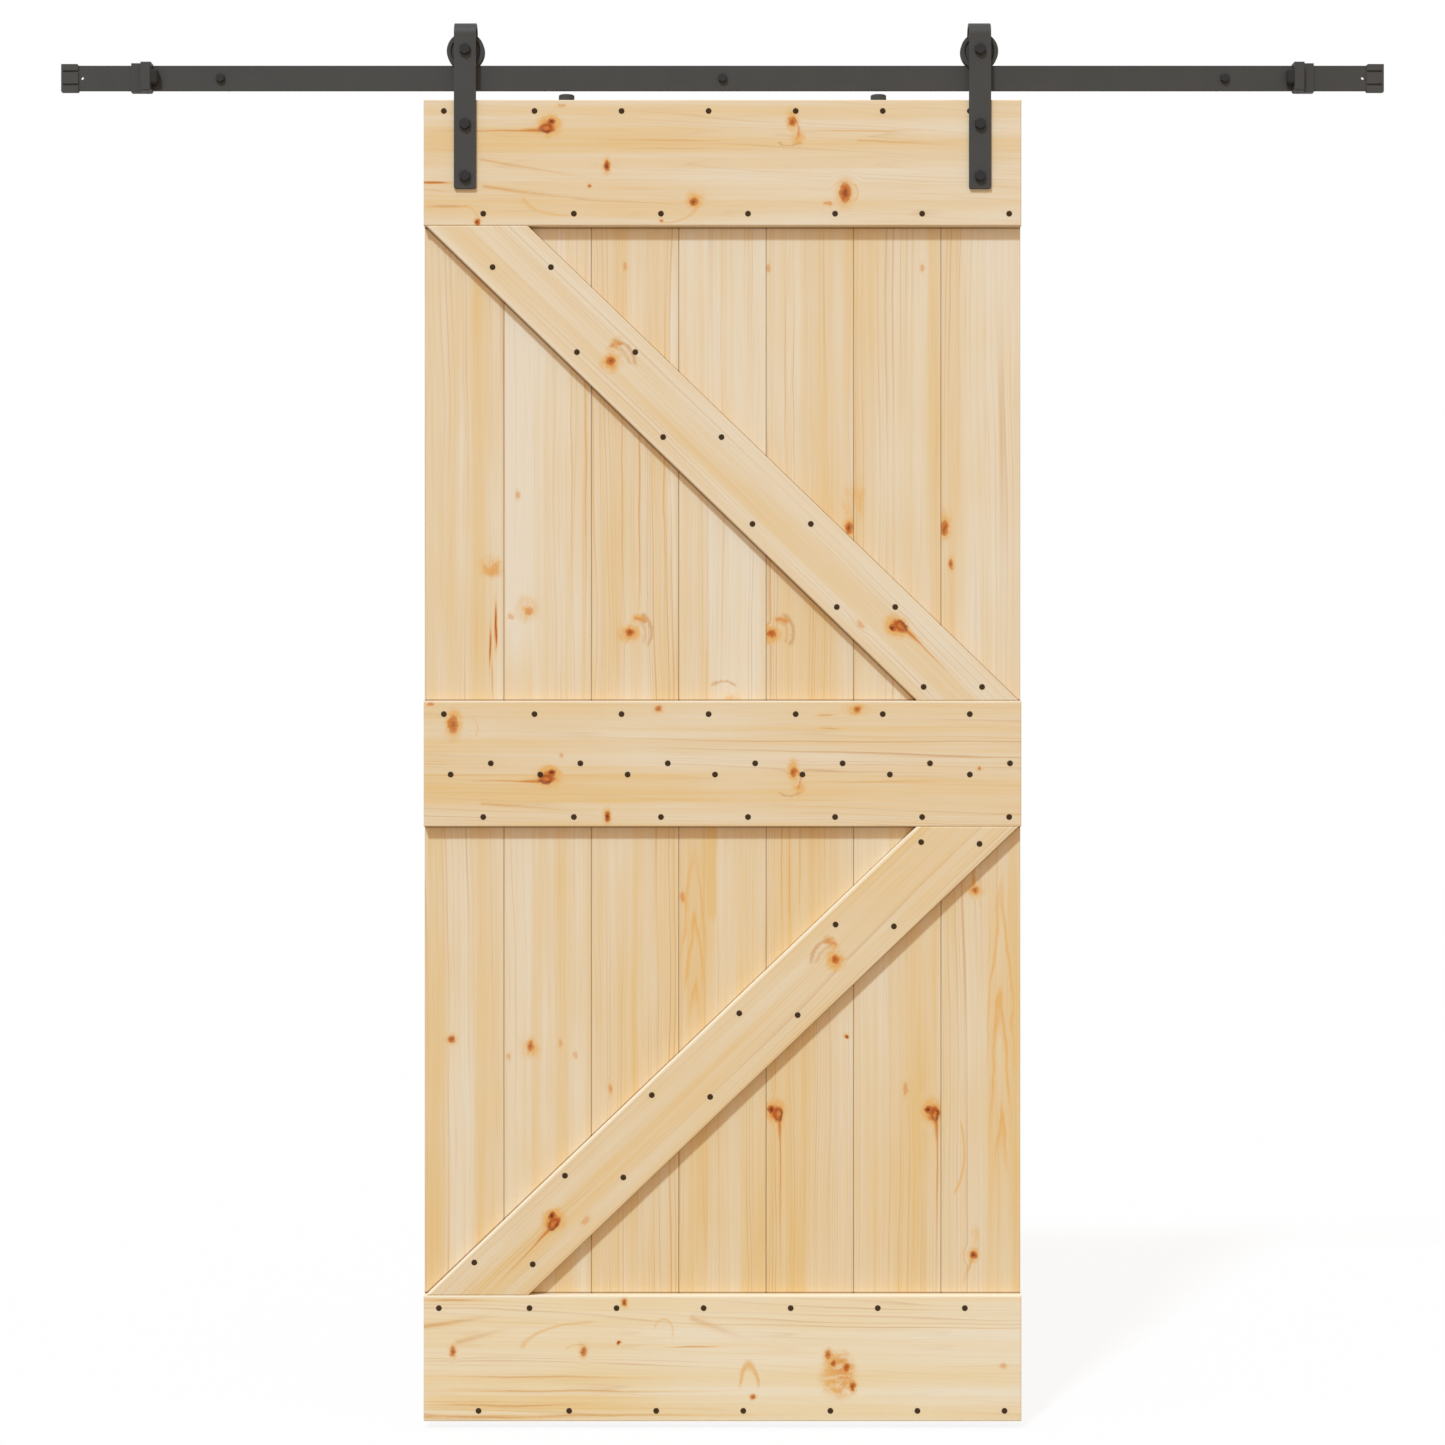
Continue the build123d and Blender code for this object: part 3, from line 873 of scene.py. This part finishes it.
class Drive(Enum):
    """The recess in a screw's head."""

    CROSS = "cross"
    HEX = "hex"

    def outline(self, size: float) -> list[Vector]:
        """Draw the recess.

        Args:
            size: Length from the middle to a tip.

        Returns:
            Its corners, in turn.
        """
        arm = 0.3 * size
        corners, turns = [(size, -arm), (size, arm), (arm, arm)], 4
        if self is Drive.HEX:
            corners, turns = [(size, 0.0)], 6
        spins = [Matrix.Rotation(math.tau * k / turns, 3, "Z") for k in range(turns)]
        return [spin @ Vector((x, y, 0.0)) for spin in spins for x, y in corners]


@dataclass(frozen=True)
class ScrewHead:
    """A screw's head with a recess, in millimetres along its own axis.

    The crown is the flat rim round the recess at a height above the seat. The skirt carries on
    from it as (radius, height) pairs.
    """

    crown: float
    height: float
    skirt: tuple[tuple[float, float], ...]
    drive: Drive
    drive_size: float
    drive_depth: float
    drive_taper: float = 0.8
    steps: int = 16

    def piece(
        self, name: str, seats: Iterable[Vector], axis: Vector, material: bpy.types.Material, body: str
    ) -> None:
        """Make one piece of heads that face one way.

        Args:
            name: The piece's name.
            seats: Where the heads sit, in metres.
            axis: The way they face.
            material: Their finish.
            body: The CAD body that they move with.
        """
        mesh = bmesh.new()
        for seat in seats:
            self.stamp(mesh, seat, axis)
        to_object(name, mesh, material, body)

    def stamp(self, mesh: bmesh.types.BMesh, seat: Vector, axis: Vector) -> None:
        """Add one head to a bmesh.

        Args:
            mesh: The bmesh.
            seat: Where the head sits, in metres.
            axis: The way the head faces.
        """
        lifted = Matrix.Translation((0.0, 0.0, self.height))
        ring = bmesh.ops.create_circle(mesh, segments=self.steps, radius=self.crown, matrix=lifted)
        circle = ring["verts"]
        rim = list({edge for vert in circle for edge in vert.link_edges})
        corners = [mesh.verts.new(lifted @ corner) for corner in self.drive.outline(self.drive_size)]
        mouth = [mesh.edges.new(pair) for pair in zip(corners, corners[1:] + corners[:1])]
        bmesh.ops.bridge_loops(mesh, edges=rim + mouth)
        made = circle + corners
        made += self._carry_on(mesh, mouth, ((self.drive_taper, self.height - self.drive_depth),))
        radii = [self.crown] + [radius for radius, _ in self.skirt]
        ratios = [after / before for before, after in zip(radii, radii[1:])]
        made += self._carry_on(mesh, rim, [(ratio, level) for ratio, (_, level) in zip(ratios, self.skirt)])
        facing = axis.to_track_quat("Z", "Y").to_matrix().to_4x4()
        bmesh.ops.transform(
            mesh, matrix=Matrix.Translation(seat) @ facing @ Matrix.Scale(MM, 4), verts=made
        )

    @staticmethod
    def _carry_on(
        mesh: bmesh.types.BMesh, edges: list[bmesh.types.BMEdge], levels: Sequence[tuple[float, float]]
    ) -> list[bmesh.types.BMVert]:
        """Extrude a loop through (scale, height) levels and close its end.

        Args:
            mesh: The bmesh.
            edges: The loop's edges.
            levels: How much wider the loop gets at each height.

        Returns:
            The new vertices.
        """
        made: list[bmesh.types.BMVert] = []
        for scale, level in levels:
            grown = bmesh.ops.extrude_edge_only(mesh, edges=edges)["geom"]
            verts = [item for item in grown if isinstance(item, bmesh.types.BMVert)]
            edges = [item for item in grown if isinstance(item, bmesh.types.BMEdge)]
            bmesh.ops.scale(mesh, vec=(scale, scale, 1.0), verts=verts)
            bmesh.ops.translate(mesh, vec=(0.0, 0.0, level - verts[0].co.z), verts=verts)
            made += verts
        bmesh.ops.contextual_create(mesh, geom=edges)
        return made


@dataclass(frozen=True)
class ScrewRow:
    """A level row of screws on a batten, one to each plank, in millimetres.

    The first and last gaps may differ because the outer planks are narrower.
    """

    drop: float
    start: float
    first_gap: float = 144.0
    pitch: float = 138.35
    last_gap: float = 138.35
    inner_gaps: int = 4

    def places(self) -> list[Place]:
        """Places of the screws as (across, drop)."""
        gaps = (self.first_gap, *(self.pitch,) * self.inner_gaps, self.last_gap)
        return [(across, self.drop) for across in accumulate(gaps, initial=self.start)]


@dataclass(frozen=True)
class BracePairs:
    """Pairs of screws along a brace, one pair to each joint between planks."""

    middles: tuple[Place, ...]
    spread: float = 92.8
    tilt: float = 0.0

    def places(self) -> list[Place]:
        """Places of the screws as (across, drop), the right one lower by the tilt."""
        half = self.spread / 2
        sides = ((-half, -self.tilt / 2), (half, self.tilt / 2))
        return [(across + dx, drop + dz) for across, drop in self.middles for dx, dz in sides]


@dataclass
class BoardScrews:
    """Dark cross-recessed screws that fix battens and braces to the planks."""

    door_top: float
    rows: dict[str, tuple[Union[ScrewRow, BracePairs], ...]]
    head: ScrewHead = ScrewHead(3.7, 0.9, ((4.7, 0.25), (4.7, -0.9)), Drive.CROSS, 2.1, 0.65)

    def build(self, material: bpy.types.Material) -> None:
        """Make one piece of screw heads for each board."""
        for board, rows in self.rows.items():
            face_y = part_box(board)[0][1]
            places = [place for row in rows for place in row.places()]
            seats = [Vector((across * MM, face_y, (self.door_top - drop) * MM)) for across, drop in places]
            self.head.piece(f"{board}_screws", seats, FRONT, material, "door")


@dataclass
class TrackFixings:
    """Threads of the lag bolts in the wall, and set screws under the stops."""

    crest: float = 4.15
    root: float = 3.3
    half_width: float = 0.85
    pitch: float = 3.4
    start: float = 2.0
    turns: int = 11
    steps_per_turn: int = 14
    set_screw: ScrewHead = ScrewHead(2.1, 0.0, ((2.4, -0.3), (2.4, -2.3)), Drive.HEX, 1.45, 1.3)
    set_screw_inset: float = 0.6
    set_screw_y: float = -35.0
    head_middle: float = 916.5

    def build(self, material: bpy.types.Material) -> None:
        """Make the threads and the set screws.

        Args:
            material: Their finish.
        """
        for station in STATIONS:
            self._thread(station, material)
        for side, sign in zip(SIDES, (-1, 1)):
            low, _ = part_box(f"{side}_stop")
            height = low[2] + self.set_screw_inset * MM
            seat = Vector((sign * self.head_middle * MM, self.set_screw_y * MM, height))
            self.set_screw.piece(f"{side}_stop_set_screw", [seat], DOWN, material, "track")

    def _thread(self, station: str, material: bpy.types.Material) -> None:
        """Wind one ridge round a lag bolt's shank.

        Args:
            station: Which lag bolt.
            material: The thread's finish.
        """
        mesh = bmesh.new()
        foot = middle(f"{station}_lag_bolt")
        foot.y = self.start * MM
        profile = ((self.root, -self.half_width), (self.crest, 0.0), (self.root, self.half_width))
        verts = [mesh.verts.new(foot + Vector((radius, shift, 0.0)) * MM) for radius, shift in profile]
        edges = [mesh.edges.new(pair) for pair in zip(verts, verts[1:] + verts[:1])]
        rise = INTO * (self.pitch * MM / self.steps_per_turn)
        turn = {"angle": math.tau * self.turns, "steps": self.turns * self.steps_per_turn}
        bmesh.ops.spin(mesh, geom=verts + edges, cent=foot, axis=INTO, dvec=rise, **turn)
        bmesh.ops.holes_fill(mesh, edges=mesh.edges, sides=3)
        to_object(f"{station}_lag_thread", mesh, material, "track")


@dataclass
class DiscScrews:
    """Countersunk screws in the discs on the door's top edge."""

    head: ScrewHead = ScrewHead(4.1, -0.25, ((2.1, -2.4), (2.1, -8.6)), Drive.CROSS, 2.2, 1.4)

    def build(self, material: bpy.types.Material) -> None:
        """Make one screw for each disc."""
        for side in SIDES:
            seat = middle(f"{side}_anti_jump_disc")
            seat.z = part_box(f"{side}_anti_jump_disc")[1][2]
            self.head.piece(f"{side}_disc_screw", [seat], UP, material, "door")


@dataclass
class Studio:
    """Floor, light, background and camera."""

    camera_distance: float = 4.5
    frame_width: float = 2.2961
    sensor_mm: float = 36.0
    camera_x: float = 0.0
    camera_z: float = -1.0266
    floor_gap: float = 0.012
    floor_size: float = 30.0
    floor_bounce: Colour = (0.44, 0.40, 0.35)
    floor_seen: Colour = (0.84, 0.84, 0.84)
    floor_white: float = 0.88
    fill: float = 0.60
    fill_colour: Colour = (1.34, 1.05, 0.80)
    sun_strength: float = 2.28
    sun_colour: Colour = (0.69, 0.965, 1.24)
    sun_angle_deg: float = 5.0
    sun_way: Triple = (7.0, 17.0, -21.5)

    def build(self) -> None:
        """Set up the whole studio."""
        self._floor()
        self._world()
        self._sun()
        self._camera()

    def _floor(self) -> None:
        """A pale floor just below the door that keeps the door's shadow."""
        mesh = bmesh.new()
        bmesh.ops.create_grid(mesh, x_segments=1, y_segments=1, size=self.floor_size / 2)
        height = CAD_BOX[0][2] - self.floor_gap
        bmesh.ops.translate(mesh, verts=mesh.verts, vec=(0.0, 0.0, height))
        data = bpy.data.meshes.new("floor")
        mesh.to_mesh(data)
        mesh.free()
        floor = placed("floor", data)
        material, graph = new_material("pale_floor")
        bounce = graph.value("ShaderNodeBsdfDiffuse", {}, {"Color": self.floor_bounce})
        matt = graph.value("ShaderNodeBsdfDiffuse", {}, {"Color": self.floor_seen})
        white = graph.value("ShaderNodeEmission", {}, {"Color": (1.0, 1.0, 1.0), "Strength": 1.0})
        pale = graph.value("ShaderNodeMixShader", {}, {0: self.floor_white, 1: matt, 2: white})
        mixed = graph.value("ShaderNodeMixShader", {}, {0: self._seen(graph), 1: bounce, 2: pale})
        graph.add("ShaderNodeOutputMaterial", {}, {"Surface": mixed})
        data.materials.append(material)

    @staticmethod
    def _seen(graph: Graph) -> Signal:
        """1 for rays that the camera, a gloss or glass sends out."""
        path = graph.add("ShaderNodeLightPath", {}, {})
        names = ("Is Camera Ray", "Is Glossy Ray", "Is Transmission Ray")
        camera, glossy, through = (Signal(graph, path.outputs[name]) for name in names)
        return (camera + glossy + through).clamped()

    def _world(self) -> None:
        """White background, with even fill light on the object."""
        world = bpy.data.worlds.new("studio")
        world.use_nodes = True
        bpy.context.scene.world = world
        graph = Graph(world.node_tree)
        soft = graph.value("ShaderNodeBackground", {}, {"Color": self.fill_colour, "Strength": self.fill})
        white = graph.value("ShaderNodeBackground", {}, {"Color": (1.0, 1.0, 1.0), "Strength": 1.0})
        mixed = graph.value("ShaderNodeMixShader", {}, {0: self._seen(graph), 1: soft, 2: white})
        graph.add("ShaderNodeOutputWorld", {}, {"Surface": mixed})

    def _sun(self) -> None:
        """One main light from the upper left front."""
        data = bpy.data.lights.new("main_light", "SUN")
        data.energy = self.sun_strength
        data.color = self.sun_colour
        data.angle = math.radians(self.sun_angle_deg)
        lamp = placed("main_light", data)
        lamp.rotation_euler = Vector(self.sun_way).to_track_quat("-Z", "Y").to_euler()

    def _camera(self) -> None:
        """Level camera straight in front of the door."""
        data = bpy.data.cameras.new("camera")
        data.sensor_width = self.sensor_mm
        data.lens = self.sensor_mm * self.camera_distance / self.frame_width
        camera = placed("camera", data)
        face_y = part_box("top_batten")[0][1]
        camera.location = (self.camera_x, face_y - self.camera_distance, self.camera_z)
        camera.rotation_euler = (math.pi / 2, 0.0, 0.0)
        bpy.context.scene.camera = camera


COATINGS = (
    Coating("coated_steel", linear(69, 65, 60), 0.55, 0.7, 0.05, shine=0.25),
    Coating("fastener_steel", linear(46, 43, 40), 0.5, 0.5, 0.03, shine=0.2),
    Coating("wheel_nylon", linear(68, 64, 59), 0.5, 0.6, 0.03, shine=0.25),
    Coating("moulded_plastic", linear(73, 69, 64), 0.6, 0.8, 0.05, shine=0.25),
    Coating("bumper_rubber", linear(48, 45, 42), 0.75, 0.6, 0.08, shine=0.2),
)
SCREW_BRONZE = Coating("screw_bronze", linear(74, 54, 33), 0.6, 0.4, 0.03, shine=0.1)

BRIGHT_PINE = PineTones(
    honey=linear(234, 198, 136), cream=linear(236, 211, 168), pale=linear(238, 221, 192)
)

PLANKS = (
    PineBoard("plank_1", 1.0, -190.0, tone=0.52, fall=0.08, marks=(
        Band(-384, 530, 24, 340, -0.07), Band(-413, 1500, 22, 400, 0.2), Band(-457, 1500, 13, 420, -0.2),
        Blotch(-369, 742, 21, 20, 1.2), Blotch(-366, 746, 16, 14, 0.3, "body"),
        Streak(-362, 830, 2.2, 38, 0.85), Streak(-370, 870, 2.4, 36, 0.7), Streak(-360, 852, 1.6, 24, 0.9),
        Streak(-366, 920, 1.3, 34, 0.6), Knot(-432, 1495, 6.0, 6.0, 0.66),
    )),
    PineBoard("plank_2", 2.0, 240.0, tone=0.6, fall=0.2, lines=0.6, marks=(
        Band(-324, 560, 22, 330, 0.4), Band(-324, 1500, 20, 400, 0.2), Streak(-241, 600, 1.2, 260, 0.35),
        Streak(-219, 560, 1.4, 300, 0.4), Blotch(-312, 808, 20, 26, 0.65), Knot(-308, 812, 5, 6, 0.42),
        Knot(-338, 820, 4, 4, 0.3), Knot(-326, 627, 3, 6, 0.3), Knot(-306, 1506, 4.8, 8, 0.6),
        Blotch(-306, 1508, 20, 22, 0.6), Knot(-341, 1522, 3, 5, 0.3), Knot(-259, 1501, 3, 6, 0.28),
        Knot(-235, 1520, 3, 5, 0.25),
    )),
    PineBoard("plank_3", 3.0, -260.0, ring_gap=5.0, tone=0.46, fall=0.1, marks=(
        Band(-79, 600, 5, 330, 0.35), Band(-150, 1500, 16, 300, -0.25), Streak(-132, 640, 1.5, 200, 0.6),
        Streak(-160, 600, 1.2, 240, 0.35), Streak(-93, 560, 1.3, 260, 0.45), *Cluster(-148, 846).eye(),
        Knot(-155, 263, 3, 6, 0.3), Knot(-179, 1573, 3, 8, 0.42), Knot(-223, 1468, 3, 5, 0.4),
    )),
    PineBoard("plank_4", 4.0, 280.0, tone=0.49, fall=0.24, lines=0.65, marks=(
        Band(18, 780, 42, 190, 0.35), Band(-10, 340, 45, 200, 0.2), Band(-36, 1760, 32, 170, -0.05),
        Band(-17, 1225, 7, 75, -0.55), Band(-46, 1330, 22, 170, -0.2),
        Flame(-46, 1330, 26, 160, 1.15, 11.0, 0.10), Arc(2, 936, 20, 12, 0.6, 0, 75, 3.5, "line", True),
        Blotch(14, 958, 18, 16, 0.9), Knot(-64, 1268, 4, 8, 0.4),
    )),
    PineBoard("plank_5", 5.0, -230.0, ring_gap=5.0, tone=0.36, fall=0.13, marks=(
        Band(104, 1720, 30, 280, -0.12), Band(172, 1700, 34, 280, 0.15), Streak(95, 1200, 1.3, 130, 0.45),
        Streak(108, 1230, 1.3, 140, 0.45), Streak(124, 1200, 1.2, 120, 0.4),
        Streak(100, 420, 1.2, 160, 0.4), Streak(114, 460, 1.2, 180, 0.35), *Cluster(78, 847).eye(),
        Knot(202, 680, 6.4, 9.5, 0.72), Blotch(203, 650, 13, 48, 0.7), Knot(73, 265, 3, 6, 0.3),
        *Cluster(83, 1611).burl(270.0), Knot(198, 1490, 3, 3, 0.85),
    )),
    PineBoard("plank_6", 6.0, 210.0, tone=0.46, fall=0.12, lines=0.8, marks=(
        Band(336, 400, 9, 300, -0.15), Band(218, 400, 8, 300, -0.12), Band(325, 1600, 20, 300, -0.2),
        Blotch(217, 632, 13, 35, 0.8), Knot(319, 265, 3, 6, 0.3), *Cluster(333, 1611).burl(270.0),
        Knot(292, 1574, 3.5, 9.5, 0.35),
    )),
    PineBoard("plank_7", 7.0, -220.0, tone=0.54, fall=0.25, lines=0.65, marks=(
        Band(405, 380, 16, 260, -0.18), Band(448, 1500, 24, 320, -0.25),
        Flame(444, 1480, 28, 300, 1.2, 11.0, 0.06), Knot(354, 680, 6.4, 12, 0.68),
        Blotch(356, 668, 11, 29, 0.8), Knot(365, 737, 3.5, 8, 0.6), Knot(403, 1257, 6, 5, 0.6),
        Blotch(403, 1252, 22, 20, 0.9), Tail(400, 1250, 2.0, 60, 0.5, 0.0),
        Arc(385, 1282, 26, 26, 0.4, 55, 40, 2.6), Knot(400, 1839, 6.4, 6.4, 0.82),
        Blotch(404, 1815, 8, 26, 0.7), Tail(398, 1846, 2.0, 50, 0.4, 200.0),
        Arc(340, 1672, 46, 90, 0.9, 100, 45, 3.0),
    )),
)

FRAME_BOARDS = (
    PineBoard("top_batten", 11.0, -230.0, GrainRun.LEVEL, taper=-0.05, tone=0.5, lines=0.55, marks=(
        Band(-230, 58, 27, 270, -0.15), Band(250, 70, 20, 250, -0.12), Band(300, 125, 30, 200, 0.1),
        *Cluster(-276, 40, 90.0).burl(200.0), Knot(-184, 105, 9, 4.4, 0.85), Knot(-211, 137, 3, 2.6, 0.6),
        Knot(-46, 162, 7, 7, 0.76), Blotch(-42, 156, 16, 18, 0.6), Knot(-389, 194, 5, 3.5, 0.82),
        Knot(-256, 9, 3, 6, 0.3), Streak(-462, 132, 2.6, 34, 0.72), Streak(-440, 169, 2.6, 38, 0.55),
        Arc(-415, 186, 18, 24, 0.5, 45, 45, 2.6), Tail(-390, 95, 1.5, 210, 0.35, 99.0),
        Tail(-384, 137, 2.2, 190, 0.45, 97.0), Arc(-242, 154, 30, 75, 0.6, 225, 50, 3.0),
        Arc(-95, 167, 27, 52, 0.6, 135, 50, 3.0), Knot(-97, 192, 3, 3, 0.55),
        Streak(-80, 64, 1.4, 90, 0.4), Streak(-80, 78, 1.2, 90, 0.35), *Cluster(111, 35).feather(),
        Streak(220, 49, 1.2, 95, 0.45), Tail(211, 64, 1.4, 200, 0.4, 93.0), Knot(195, 148, 15, 9, 0.74),
        Arc(200, 148, 18, 16, 0.6, 90, 55, 3.0), Knot(168, 165, 2.6, 6, 0.4),
    )),
    PineBoard("middle_batten", 12.0, 250.0, GrainRun.LEVEL, taper=0.02, tone=0.32, highlight_share=0.5, marks=(
        Band(-280, 1093, 22, 260, -0.25), Band(60, 1030, 28, 400, 0.12), Knot(-428, 993, 14, 8, 0.62),
        Blotch(-426, 988, 24, 14, 0.8), Arc(-410, 1000, 20, 20, 0.5, 80, 50, 2.4),
        Knot(-464, 960, 3, 5, 0.5), Knot(-102, 968, 5.0, 5.6, 0.6), Knot(214, 969, 5.0, 6, 0.62),
        Blotch(212, 969, 12, 24, 0.8), Streak(164, 977, 1.8, 16, 0.6), Streak(168, 999, 1.6, 20, 0.55),
        *Cluster(-276, 1074, 90.0).burl(140.0), Knot(-183, 1139, 9, 4.4, 0.85),
        Knot(-256, 1042, 3, 3, 0.3), *Cluster(113, 1068).feather(), Streak(250, 1083, 1.2, 100, 0.4),
        Tail(-384, 1120, 1.8, 190, 0.4, 93.0), Knot(408, 1063, 2.5, 3, 0.55),
    )),
    PineBoard("bottom_batten", 13.0, 260.0, GrainRun.LEVEL, taper=0.03, tone=0.58, fall=0.3, highlight_share=0.65,
              tones=BRIGHT_PINE, marks=(
        Band(-300, 2070, 12, 190, -0.25), Knot(-428, 1989, 8, 4.4, 0.62),
        Tail(-426, 1975, 3.4, 110, 0.3, 75.0), Knot(-221, 1989, 8, 4.6, 0.62),
        Arc(-228, 1992, 14, 22, 0.5, 340, 50, 2.4), Arc(-194, 1989, 48, 124, 0.6, 315, 45, 3.0),
        Knot(-165, 1975, 3.0, 3.0, 1.0), Knot(-156, 1911, 6, 4.4, 0.76),
        Arc(-93, 1955, 18, 14, 0.5, 20, 120, 2.6), Tail(-52, 1935, 4.0, 120, 0.25, 112.0),
        Streak(-46, 1981, 1.4, 40, 0.6), Arc(43, 2062, 51, 16, 0.9, 0, 80, 4.2), Knot(48, 2061, 4, 4, 0.6),
        Blotch(184, 2027, 40, 30, 1.5), Blotch(190, 2022, 32, 20, 0.5, "body"),
        Knot(168, 1994, 7, 5, 0.62), Knot(176, 2008, 5, 4, 0.66), Knot(197, 2014, 8, 4.5, 0.66),
        Knot(207, 2045, 7, 4, 0.74), Knot(446, 2012, 4, 5, 0.3), Streak(-430, 1907, 2.2, 50, 0.5),
        Tail(-480, 1951, 3.0, 140, 0.45, 81.0), Streak(-300, 2030, 1.8, 150, 0.45),
        Streak(-250, 2052, 1.8, 200, 0.45), Streak(-350, 2074, 2.2, 130, 0.5),
        Streak(-390, 2093, 2.6, 100, 0.6), Streak(-200, 2090, 2.0, 200, 0.45),
    )),
    PineBoard("upper_brace", 14.0, 180.0, GrainRun.FALLING, ring_gap=5.0, tone=0.6, lines=0.7, marks=(
        *Cluster(-177, 415, -25.0).eye(), *Cluster(276, 838, -45.0).burl(120.0), Knot(219, 834, 4, 8, 0.3),
    )),
    PineBoard("lower_brace", 15.0, -190.0, GrainRun.RISING, tone=0.32, lines=0.8, highlight_share=0.8, marks=(
        *Cluster(179, 1366, 25.0, True).eye(), *Cluster(-270, 1780, 45.0).burl(140.0),
        Knot(-218, 1781, 4, 8, 0.3),
    )),
)

SCREW_ROWS = {
    "top_batten": (ScrewRow(17.8, -442.8), ScrewRow(181.0, -380.2)),
    "middle_batten": (
        ScrewRow(976.2, -442.8),
        ScrewRow(1054.4, -368.2, 142.3, 138.9, 127.1),
        ScrewRow(1072.2, -432.0, 142.3, 138.9, 127.1),
        ScrewRow(1139.7, -380.2),
    ),
    "bottom_batten": (ScrewRow(1920.1, -450.7), ScrewRow(2083.3, -387.7)),
    "upper_brace": (
        BracePairs(((-319, 266), (-185, 401), (-48, 536), (94, 674), (228, 806), (366, 933))),
    ),
    "lower_brace": (
        BracePairs(
            ((362, 1181), (226, 1312), (73, 1453), (-66, 1583), (-204, 1711), (-348, 1849)), tilt=2.9
        ),
    ),
}


def main() -> None:
    """Dress the CAD nodes, add the small pieces and set up the studio."""
    bpy.context.scene.view_settings.view_transform = "Standard"
    door_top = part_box("top_batten")[1][2] / MM
    # Edges of the frame boards, beside which painted shade is laid on the planks
    contacts = [edge for board in FRAME_BOARDS for edge in board.edges()]
    for board in PLANKS:
        paint(board.node, board.material(door_top, contacts))
    for board in FRAME_BOARDS:
        paint(board.node, board.material(door_top))

    finishes = {coating.name: coating.material() for coating in COATINGS}
    for part in frame["record"]["subparts"]:
        if part["material_slot"] in finishes:
            paint(part["node"], finishes[part["material_slot"]])

    BoardScrews(door_top, SCREW_ROWS).build(SCREW_BRONZE.material())
    TrackFixings().build(finishes["fastener_steel"])
    DiscScrews().build(finishes["fastener_steel"])
    Studio().build()


if __name__ == "__main__":
    main()
